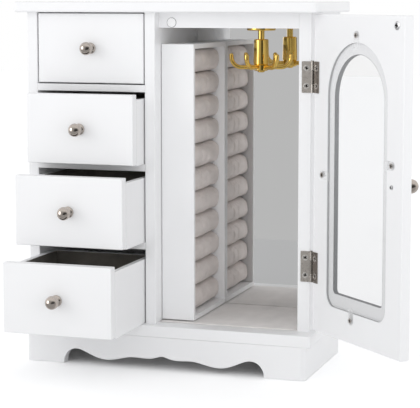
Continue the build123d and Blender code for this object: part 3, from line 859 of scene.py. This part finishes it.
@dataclass
class RingTray:
    """The padded ring rolls of the tray."""

    count: int = 11
    shoulder: float = 9.0 * MM
    end_round: float = 3.6 * MM
    slack: float = 0.32 * MM
    seed: int = 7
    along: int = 44
    around: int = 22
    frames: int = 16
    give: float = 0.7 * MM
    side_give: float = 0.15 * MM
    gap: float = 0.2 * MM
    fullness: float = 0.88

    def prototype(self, low: Vector, high: Vector) -> Piece:
        """Makes one roll: a deep rounded pad with drawn-in ends.

        Args:
            low: The lowest corner of the roll's own space.
            high: Its highest corner.

        Returns:
            The roll, closed, in its own space.
        """
        shape = bmesh.new()
        long = high.y - low.y
        half = (high.z - low.z) / 2 - self.slack
        middle = (high.z + low.z) / 2
        rings = []
        for i in range(self.along + 1):
            y = low.y + long * i / self.along
            inset = self._end_inset(min(y - low.y, high.y - y))
            ring = []
            for j in range(self.around + 1):
                angle = math.pi * (j / self.around - 0.5)
                side = math.copysign(abs(math.sin(angle)) ** self.fullness, angle)
                bulge = max(0.0, math.cos(angle)) ** self.fullness
                x = high.x - self.shoulder - inset * 0.9 + self.shoulder * bulge
                ring.append(shape.verts.new((x, y, middle + (half - inset * 0.30) * side)))
            ring.append(shape.verts.new((low.x, y, middle + half)))
            ring.append(shape.verts.new((low.x, y, middle - half)))
            rings.append(ring)
        skin(shape, rings, capped=True)
        return make_piece("roll_pattern", shape, ROLL_SUEDE, 60.0)

    def puff(self, roll: Piece) -> None:
        """Fills the roll with air under its cloth, held along its root, and keeps the result.

        Args:
            roll: The roll's pattern, whose mesh is changed.
        """
        rest = [vert.co.copy() for vert in roll.data.vertices]
        front = max(point.x for point in rest)
        low, high = min(point.z for point in rest), max(point.z for point in rest)
        held = roll.vertex_groups.new(name="root")
        held.add([n for n, point in enumerate(rest) if point.x < front - self.shoulder * 0.92], 1.0, "REPLACE")
        cloth = roll.modifiers.new("cloth", "CLOTH")
        cloth.settings.effector_weights.gravity = 0.0
        for name, value in (
            ("quality", 8), ("mass", 0.05), ("tension_stiffness", 12.0), ("compression_stiffness", 12.0),
            ("bending_stiffness", 0.05), ("shrink_min", -0.05), ("use_pressure", True),
            ("uniform_pressure_force", 4.0), ("vertex_group_mass", "root"),
        ):
            setattr(cloth.settings, name, value)
        cloth.point_cache.frame_start = 1
        cloth.point_cache.frame_end = self.frames
        scene = bpy.context.scene
        for frame in range(1, self.frames + 1):
            scene.frame_set(frame)
        view = bpy.context.evaluated_depsgraph_get()
        moved = [vert.co.copy() for vert in roll.evaluated_get(view).data.vertices]
        roll.modifiers.clear()
        scene.frame_set(1)
        largest = 0.0
        for vert, start, end in zip(roll.data.vertices, rest, moved):
            step = end - start
            largest = max(largest, step.length)
            vert.co = start + step * min(1.0, self.give / max(step.length, 1e-9))
            vert.co.z = min(max(vert.co.z, low - self.side_give), high + self.side_give)
        log.info("the roll's cloth moved by up to %.2f mm, held to %.2f mm", largest / MM, self.give / MM)

    def _end_inset(self, near: float) -> float:
        """How far the roll is drawn in, at a distance from its end."""
        if near >= self.end_round:
            return 0.0
        share = 1.0 - near / self.end_round
        return self.end_round * (1.0 - math.sqrt(max(0.0, 1.0 - share ** 2.4)))

    def build(self) -> None:
        """Repeats the roll up the tray."""
        low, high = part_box("ring_rolls")
        pitch = (high.z - low.z + self.gap) / self.count
        pattern = self.prototype(low, Vector((high.x, high.y, low.z + pitch - self.gap)))
        self.puff(pattern)
        recipe = Recipe("ring_roll_row")
        source, count, step, finish, seed = recipe.ask(
            ("Roll", "Object", pattern), ("Count", "Int", self.count), ("Pitch", "Float", pitch),
            ("Finish", "Material", material_of(ROLL_SUEDE)), ("Seed", "Int", self.seed))
        line = recipe.out("GeometryNodeMeshLine", {"Count": count})
        place = recipe.xyz(Z=recipe.sum("MULTIPLY", recipe.out("GeometryNodeInputIndex"), step))
        placed = recipe.out("GeometryNodeSetPosition", {"Geometry": line, "Position": place})
        uneven = recipe.out("FunctionNodeRandomValue", {"Seed": seed, 0: (0.985, 1.0, 1.0), 1: EVEN},
                            data_type="FLOAT_VECTOR")
        recipe.finish(finish, Points=placed, Instance=recipe.pattern(source), Scale=uneven)
        rolls = recipe.bake("padded_ring_rolls", 60.0)
        bpy.data.objects.remove(pattern)
        self._crease(rolls)
        soften(rolls.data, 60.0)
        fit(rolls, Body.CABINET, ROLL_SUEDE, "ring_rolls")

    def _crease(self, rolls: Piece) -> None:
        """Gives each roll its own shallow hollows, so that no two are alike."""
        for vert in rolls.data.vertices:
            drift = noise.noise(vert.co * 75.0) * 0.22 + noise.noise(vert.co * 240.0) * 0.07
            vert.co.x += drift * MM


@dataclass
class FeltLining:
    """The dark felt that lines one drawer."""

    body: Body
    thick: float = 0.8 * MM
    corner: float = 1.6 * MM
    top_gap: float = 0.3 * MM

    def build(self) -> None:
        """Makes the lining as one folded sheet: a floor and four walls with soft corners."""
        node = f"{self.body.value}_lining"
        low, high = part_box(node)
        half = self.thick / 2
        shape = bmesh.new()
        x0, x1, y0, y1 = low.x + half, high.x - half, low.y + half, high.y - half
        outline = self._outline(x0, x1, y0, y1)
        middle = Vector(((x0 + x1) / 2, (y0 + y1) / 2))
        foot = low.z + half
        rings = [(self.corner * (1 - math.cos(t)), foot + self.corner * (1 - math.sin(t)))
                 for t in (math.pi / 2, math.pi / 4)]
        rings += [(0.0, level) for level in (foot + self.corner, (low.z + high.z) / 2, high.z - self.top_gap)]
        loops = [[shape.verts.new(self._inward(p, middle, inset, z)) for p in outline] for inset, z in rings]
        shape.faces.new(loops[0])
        skin(shape, loops)
        lining = make_piece(f"{self.body.value}_felt", shape, DARK_FELT, 50.0)
        thick = lining.modifiers.new("thick", "SOLIDIFY")
        thick.thickness = self.thick
        thick.offset = 0.0
        fit(lining, self.body, DARK_FELT, node)

    def _outline(self, x0: float, x1: float, y0: float, y1: float) -> list[Vector]:
        """The lining's plan, with rounded upright corners."""
        r = self.corner
        corners = ((x1 - r, y1 - r, 0), (x0 + r, y1 - r, 90), (x0 + r, y0 + r, 180), (x1 - r, y0 + r, 270))
        points = []
        for x, y, start in corners:
            for step in range(4):
                angle = math.radians(start + 30 * step)
                points.append(Vector((x + r * math.cos(angle), y + r * math.sin(angle))))
        return points

    def _inward(self, point: Vector, middle: Vector, inset: float, height: float) -> tuple[float, float, float]:
        """A point of the plan, drawn towards the middle and lifted."""
        x = point.x - math.copysign(inset, point.x - middle.x)
        y = point.y - math.copysign(inset, point.y - middle.y)
        return (x, y, height)


@dataclass
class FloorLiner:
    """The suede sheet on the compartment's floor."""

    cells: int = 24
    wave: float = 0.12 * MM

    def build(self) -> None:
        """Lays the sheet, with a faint wave in its surface."""
        low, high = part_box("floor_liner")
        shape = bmesh.new()
        top = []
        for i in range(self.cells + 1):
            row = []
            for j in range(self.cells + 1):
                x = low.x + (high.x - low.x) * i / self.cells
                y = low.y + (high.y - low.y) * j / self.cells
                lift = noise.noise(Vector((x, y, 0.0)) * 60.0) * self.wave
                row.append(shape.verts.new((x, y, high.z - self.wave + lift)))
            top.append(row)
        for one, two in zip(top, top[1:]):
            for j in range(self.cells):
                shape.faces.new((one[j], two[j], two[j + 1], one[j + 1]))
        liner = make_piece("suede_floor_liner", shape, LINER_SUEDE, 60.0)
        thick = liner.modifiers.new("thick", "SOLIDIFY")
        thick.thickness = high.z - low.z - 2 * self.wave
        thick.offset = -1.0
        fit(liner, Body.CABINET, LINER_SUEDE, "floor_liner")


@dataclass
class Knob:
    """A ball knob on a turned foot, made along +Z and put on its CAD node."""

    node: str
    body: Body
    outward: Vector
    ball: float = 6.1 * MM
    reach: float = 10.2 * MM
    foot: float = 5.3 * MM
    neck: float = 3.4 * MM

    def profile(self) -> list[tuple[float, float]]:
        """The turned outline, from the board to the tip."""
        low = [
            (0.0, 0.0), (self.foot, 0.0), (self.foot + 0.1 * MM, 1.4 * MM), (self.foot - 0.6 * MM, 2.5 * MM),
            (self.neck + 0.5 * MM, 3.2 * MM), (self.neck, 4.2 * MM),
        ]
        start = math.asin(-math.sqrt(1 - (self.neck / self.ball) ** 2))
        angles = [start + (math.pi / 2 - start) * n / 20 for n in range(21)]
        arc = [(max(0.0, self.ball * math.cos(a)), self.reach + self.ball * math.sin(a)) for a in angles]
        return rounded(low, 0.5 * MM) + arc[:-1] + [(0.0, self.reach + self.ball)]

    def build(self, frame: Frame) -> None:
        """Turns the knob and sets it on its board.

        Args:
            frame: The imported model.
        """
        foot = tip_along(frame.solids(self.node)[0], -self.outward)
        shape = turned(self.profile(), 56)
        turn = self.outward.to_track_quat("Z", "Y").to_matrix().to_4x4()
        bmesh.ops.transform(shape, matrix=Matrix.Translation(foot) @ turn, verts=shape.verts)
        knob = make_piece(f"{self.node}_turned", shape, KNOB_NICKEL, 42.0)
        fit(knob, self.body, KNOB_NICKEL, self.node)


@dataclass
class HookArms:
    """The carousel's hooked arms."""

    count: int = 6
    turn: float = 18.0
    arm: float = 2.0 * MM
    root: float = 4.6 * MM
    bend: float = 9.4 * MM

    def build(self) -> None:
        """Sweeps one arm along its bent line and repeats it round the hub."""
        low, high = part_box("carousel_arms")
        axis = (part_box("carousel_flange")[0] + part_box("carousel_flange")[1]) / 2
        reach = (high.x - low.x) / 2 / math.cos(math.radians(self.turn)) - self.arm
        recipe = Recipe("hook_arms")
        count, turn, thick, root, far, rise, bend, finish = recipe.ask(
            ("Arm Count", "Int", self.count), ("First Turn", "Float", math.radians(self.turn)),
            ("Arm Radius", "Float", self.arm), ("Root", "Float", self.root), ("Reach", "Float", reach),
            ("Rise", "Float", high.z - low.z - self.arm), ("Bend Radius", "Float", self.bend),
            ("Finish", "Material", material_of(GOLD)))
        three = recipe.out("GeometryNodeResampleCurve", {0: recipe.out("GeometryNodeCurvePrimitiveLine"), "Count": 3})
        place = recipe.xyz(X=self._past(recipe, 0.5, root, far), Z=self._past(recipe, 1.5, 0.0, rise))
        bent = recipe.out("GeometryNodeSetPosition", {"Geometry": three, "Position": place})
        fillet = recipe.out("GeometryNodeFilletCurve", {"Curve": bent, "Count": 10, "Radius": bend}, mode="POLY")
        fine = recipe.out("GeometryNodeResampleCurve", {"Curve": fillet, "Count": 64})
        points = recipe.out("GeometryNodePoints", {"Count": count})
        index = recipe.out("GeometryNodeInputIndex")
        share = recipe.sum("DIVIDE", index, recipe.sum("MULTIPLY", count, 1.0))
        angle = recipe.sum("ADD", recipe.sum("MULTIPLY", share, 2 * math.pi), turn)
        swept = self._rounded_tip(recipe, fine, thick)
        recipe.finish(finish, Points=points, Instance=swept, Rotation=recipe.xyz(Z=angle))
        arms = recipe.bake("gold_hook_arms", 60.0)
        arms.data.transform(Matrix.Translation((axis.x, axis.y, low.z + self.arm)))
        fit(arms, Body.CAROUSEL, GOLD, "carousel_arms")
        self.nut(axis)

    def nut(self, axis: Vector) -> None:
        """Turns the low domed nut under the hub.

        Args:
            axis: A point on the carousel's axis.
        """
        low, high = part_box("carousel_retainer")
        wide, tall = (high.x - low.x) / 2, (high.z - low.z)
        profile = [
            (0.0, -tall * 0.55), (wide * 0.35, -tall * 0.53), (wide * 0.62, -tall * 0.42), (wide * 0.78, -tall * 0.2),
            (wide * 0.8, 0.0), (0.0, 0.0),
        ]
        shape = turned(rounded(profile, 0.3 * MM), 40)
        bmesh.ops.translate(shape, verts=shape.verts, vec=(axis.x, axis.y, high.z))
        fit(make_piece("domed_nut", shape, GOLD, 50.0), Body.CABINET, GOLD, "carousel_retainer")

    def _past(self, recipe: Recipe, mark: float, before: object, after: object) -> Socket:
        """Gives one number for the line's first points, and another for the rest.

        Args:
            recipe: The tree to add to.
            mark: The point number that parts them.
            before: The first points' number.
            after: The other points' number.

        Returns:
            The picked number.
        """
        index = recipe.sum("MULTIPLY", recipe.out("GeometryNodeInputIndex"), 1.0)
        past = recipe.out("FunctionNodeCompare", {0: index, 1: mark}, operation="GREATER_THAN")
        return recipe.out("GeometryNodeSwitch", {"Switch": past, "False": before, "True": after}, input_type="FLOAT")

    def _rounded_tip(self, recipe: Recipe, line: Socket,
                     thick: Socket) -> Socket:
        """Sweeps a round section along the line, and closes its end as a half ball.

        Args:
            recipe: The tree to add to.
            line: The arm's line.
            thick: The arm's radius.

        Returns:
            The swept arm.
        """
        along = recipe.out("GeometryNodeSplineParameter", socket="Length")
        left = recipe.sum("SUBTRACT", recipe.out("GeometryNodeSplineLength", socket="Length"), along)
        short = recipe.sum("SUBTRACT", 1.0, recipe.sum("DIVIDE", left, thick))
        over = recipe.sum("MAXIMUM", short, 0.0)
        square = recipe.sum("SUBTRACT", 1.0, recipe.sum("MULTIPLY", over, over))
        radius = recipe.sum("MULTIPLY", recipe.sum("SQRT", recipe.sum("MAXIMUM", square, 0.0004)), thick)
        ring = recipe.out("GeometryNodeCurvePrimitiveCircle", {"Resolution": 20, "Radius": 1.0}, mode="RADIUS")
        return recipe.out("GeometryNodeCurveToMesh", {
            "Curve": line, "Profile Curve": ring, "Scale": radius, "Fill Caps": True})


@dataclass(frozen=True)
class Screw:
    """The sizes and the finish of one kind of screw. A countersunk one has deep, a round-headed one has dome."""

    head: float
    deep: float
    shank: float
    long: float
    finish: Finish
    dome: float = 0.0
    proud: float = 0.0
    dish: float = 0.0


KNOB_SCREW = Screw(3.0 * MM, 0.0, 1.6 * MM, 15.0 * MM, ZINC, dome=1.4 * MM)
DOOR_KNOB_SCREW = Screw(1.9 * MM, 0.0, 1.6 * MM, 15.0 * MM, ZINC, dome=1.4 * MM)
HINGE_SCREW = Screw(2.7 * MM, 0.8 * MM, 1.0 * MM, 8.0 * MM, SCREW_NICKEL, proud=0.03 * MM, dish=0.3 * MM)
CLIP_SCREW = Screw(2.3 * MM, 0.9 * MM, 1.0 * MM, 7.0 * MM, SATIN_NICKEL)
STRIKE_SCREW = Screw(3.7 * MM, 0.0, 1.2 * MM, 6.0 * MM, ZINC, dome=0.9 * MM)
FLANGE_SCREW = Screw(2.2 * MM, 1.2 * MM, 1.0 * MM, 10.0 * MM, GOLD)


@dataclass
class ScrewSet:
    """One pattern of screws, all alike and all facing one way."""

    node: str
    body: Body
    outward: Vector
    kind: Screw
    seed: int = 3

    def blank(self) -> Piece:
        """Turns a screw without its recess, with its face at Z = 0."""
        kind = self.kind
        profile = [
            (0.0, -kind.long), (kind.shank * 0.45, -kind.long + 0.4 * MM), (kind.shank, -kind.long + 2.0 * MM),
            (kind.shank, -kind.deep), (kind.head, -0.12 * MM), (kind.head, kind.proud * 0.4),
            (kind.head - 0.12 * MM, kind.proud),
        ]
        if kind.dome:
            profile = profile[:3] + [
                (kind.shank, 0.0), (kind.head, 0.0), (kind.head, kind.dome * 0.35),
                (kind.head * 0.8, kind.dome * 0.85), (kind.head * 0.45, kind.dome), (0.0, kind.dome),
            ]
        elif kind.dish:
            profile += [(kind.head * 0.74, kind.proud), (kind.head * 0.6, -kind.dish), (0.0, -kind.dish)]
        else:
            profile += [(0.0, kind.proud)]
        return make_piece("screw_blank", turned(profile, 32), kind.finish, 40.0)

    def build(self, frame: Frame) -> None:
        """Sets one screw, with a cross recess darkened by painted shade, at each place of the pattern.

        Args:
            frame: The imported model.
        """
        kind = self.kind
        turn = self.outward.to_track_quat("Z", "Y").to_matrix().to_4x4()
        back = turn.inverted()
        tips = [tip_along(part, self.outward) for part in frame.solids(self.node)]
        blank = self.blank()
        recipe = Recipe(f"{self.node}_row")
        source, wide, span, sunk, dark, seed = recipe.ask(
            ("Blank", "Object", blank), ("Recess Width", "Float", kind.head * 0.4),
            ("Recess Span", "Float", kind.head * 1.15), ("Recess Depth", "Float", max(kind.deep, kind.dome) * 0.8),
            ("Recess Shade", "Material", material_of(RECESS_SHADE_FINISH)), ("Seed", "Int", self.seed))
        tall = recipe.sum("MULTIPLY", sunk, 2.0)
        cross = recipe.add("GeometryNodeMeshBoolean", operation="UNION", solver="EXACT")
        for first, second in ((wide, span), (span, wide)):
            bar = recipe.out("GeometryNodeMeshCube", {"Size": recipe.xyz(X=first, Y=second, Z=tall)})
            recipe.feed(cross, "Mesh 2", bar)
        lift = recipe.xyz(Z=max(kind.dome, kind.proud))
        raised = recipe.out("GeometryNodeTransform", {"Geometry": cross.outputs[0], "Translation": lift})
        # The cross's faces take the near black finish: painted shade in the recess.
        shade_crossed = recipe.out("GeometryNodeSetMaterial", {"Geometry": raised, "Material": dark})
        cut = recipe.out("GeometryNodeMeshBoolean", {"Mesh 1": recipe.pattern(source), "Mesh 2": shade_crossed},
                         operation="DIFFERENCE", solver="EXACT")
        angle = recipe.out("FunctionNodeRandomValue", {"Seed": seed, 3: math.pi / 2}, 1, data_type="FLOAT")
        recipe.finish(None, Points=recipe.start.outputs[0], Instance=cut, Rotation=recipe.xyz(Z=angle))
        places = [back @ tip - Vector((0, 0, kind.dome)) for tip in tips]
        screws = recipe.bake(f"{self.node}_driven", 40.0, places)
        screws.data.transform(turn)
        bpy.data.objects.remove(blank)
        fit(screws, self.body, kind.finish, self.node)


@dataclass(frozen=True)
class Arch:
    """An upright opening with a round head and rounded feet, in the closed door."""

    width: float
    low: float
    high: float
    corner: float

    def outline(self, inset: float) -> list[Vector]:
        """Draws the opening's outline, drawn in by a distance.

        Args:
            inset: The distance.

        Returns:
            Points in X and Z about the opening's middle line.
        """
        half = self.width / 2 - inset
        spring = self.high - self.width / 2
        turns = [math.pi * n / 48 for n in range(49)]
        points = [Vector((half * math.cos(a), spring + half * math.sin(a))) for a in turns]
        r = self.corner - inset
        low = self.low + inset
        for x, start in ((-half + r, 180), (half - r, 270)):
            angles = [math.radians(start + 15 * step) for step in range(7)]
            points += [Vector((x + r * math.cos(a), low + r + r * math.sin(a))) for a in angles]
        return points


@dataclass
class DoorWindow:
    """The door's pane, the grey strip round its opening, and a thin grey line of painted shade on its rebate's outer
    wall.
    """

    sight: Arch = Arch(80.0 * MM, 83.0 * MM, 295.5 * MM, 4.0 * MM)
    rebate: Arch = Arch(96.0 * MM, 71.0 * MM, 305.5 * MM, 12.0 * MM)
    middle_from_edge: float = 71.5 * MM
    board: float = 9.0 * MM
    rebate_deep: float = 2.3 * MM
    face_round: float = 2.6 * MM
    pane_thick: float = 1.8 * MM
    slack: float = 0.6 * MM
    pane_lift: float = 0.15 * MM

    def band(self, name: str, frame: Frame, arch: Arch, section: Sequence[tuple[float, float]], finish: Finish,
             capped: bool = False) -> Piece:
        """Runs a section round an arch in the closed door, and swings it open.

        Args:
            name: The piece's name.
            frame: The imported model.
            arch: The outline to follow.
            section: Inset from the outline, and depth from the door's face, of each point.
            finish: What it is finished in.
            capped: Whether the section's ends are closed across the opening, rather than joined together.

        Returns:
            The piece.
        """
        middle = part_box("right_side_panel")[1].x - self.middle_from_edge
        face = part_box("divider_panel")[0].y
        shape = bmesh.new()
        loops = [[shape.verts.new((middle + p.x, face + depth, p.y)) for p in arch.outline(inset)]
                 for inset, depth in section]
        skin(shape, loops if capped else loops + loops[:1], capped)
        bmesh.ops.transform(shape, matrix=frame.door_turn(), verts=shape.verts)
        return make_piece(name, shape, finish, 30.0)

    def build(self, frame: Frame) -> None:
        """Makes the strip, the bedding line and the pane.

        Args:
            frame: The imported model.
        """
        floor = self.board - self.rebate_deep
        strip = ((0.02 * MM, self.face_round), (0.02 * MM, floor - 0.1 * MM),
                 (0.4 * MM, floor - 0.1 * MM), (0.4 * MM, self.face_round))
        fit(self.band("window_strip", frame, self.sight, strip, GREY_WALL_STRIP), Body.DOOR, GREY_WALL_STRIP)
        # Painted shade: the grey line on the rebate's outer wall stands for the shadow beside the pane's edge.
        line = ((0.02 * MM, floor + 0.02 * MM), (0.02 * MM, self.board - 0.35 * MM),
                (0.22 * MM, self.board - 0.35 * MM), (0.22 * MM, floor + 0.02 * MM))
        fit(self.band("bedding_line", frame, self.rebate, line, REBATE_SHADE_LINE), Body.DOOR, REBATE_SHADE_LINE)
        near = floor + self.pane_lift
        far = near + self.pane_thick
        bevel = 0.25 * MM
        pane = ((self.slack + bevel, near), (self.slack, near + bevel),
                (self.slack, far - bevel), (self.slack + bevel, far))
        glass = self.band("clear_door_pane", frame, self.rebate, pane, PANE, capped=True)
        glass.visible_shadow = False
        glass.visible_diffuse = False
        fit(glass, Body.DOOR, PANE, "door_glass")


def main() -> None:
    """Builds the studio and dresses the cabinet."""
    logging.basicConfig(level=logging.INFO, format="%(message)s")
    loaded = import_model()
    frame = Frame(loaded["nodes"], loaded["joints"])
    bpy.context.scene.view_settings.view_transform = "Standard"
    Studio().build()
    PaintedBoards().build(frame)
    RingTray().build()
    FloorLiner().build()
    front = Vector((0.0, -1.0, 0.0))
    swing = frame.door_turn().to_3x3()
    inside = swing @ -front
    for body in DRAWERS:
        FeltLining(body).build()
        Knob(f"{body.value}_knob", body, front).build(frame)
        ScrewSet(f"{body.value}_knob_screw", body, -front, KNOB_SCREW).build(frame)
    Knob("door_knob", Body.DOOR, swing @ front).build(frame)
    for node, body, outward, kind in (
        ("door_knob_screw", Body.DOOR, inside, DOOR_KNOB_SCREW),
        ("hinge_frame_screws", Body.CABINET, front, HINGE_SCREW),
        ("hinge_door_screws", Body.DOOR, inside, HINGE_SCREW),
        ("clip_screws", Body.DOOR, inside, CLIP_SCREW),
        ("strike_screw", Body.DOOR, inside, STRIKE_SCREW),
        ("flange_screws", Body.CABINET, Vector((0.0, 0.0, -1.0)), FLANGE_SCREW),
    ):
        ScrewSet(node, body, outward, kind).build(frame)
    HookArms().build()
    DoorWindow().build(frame)


if __name__ == "__main__":
    main()
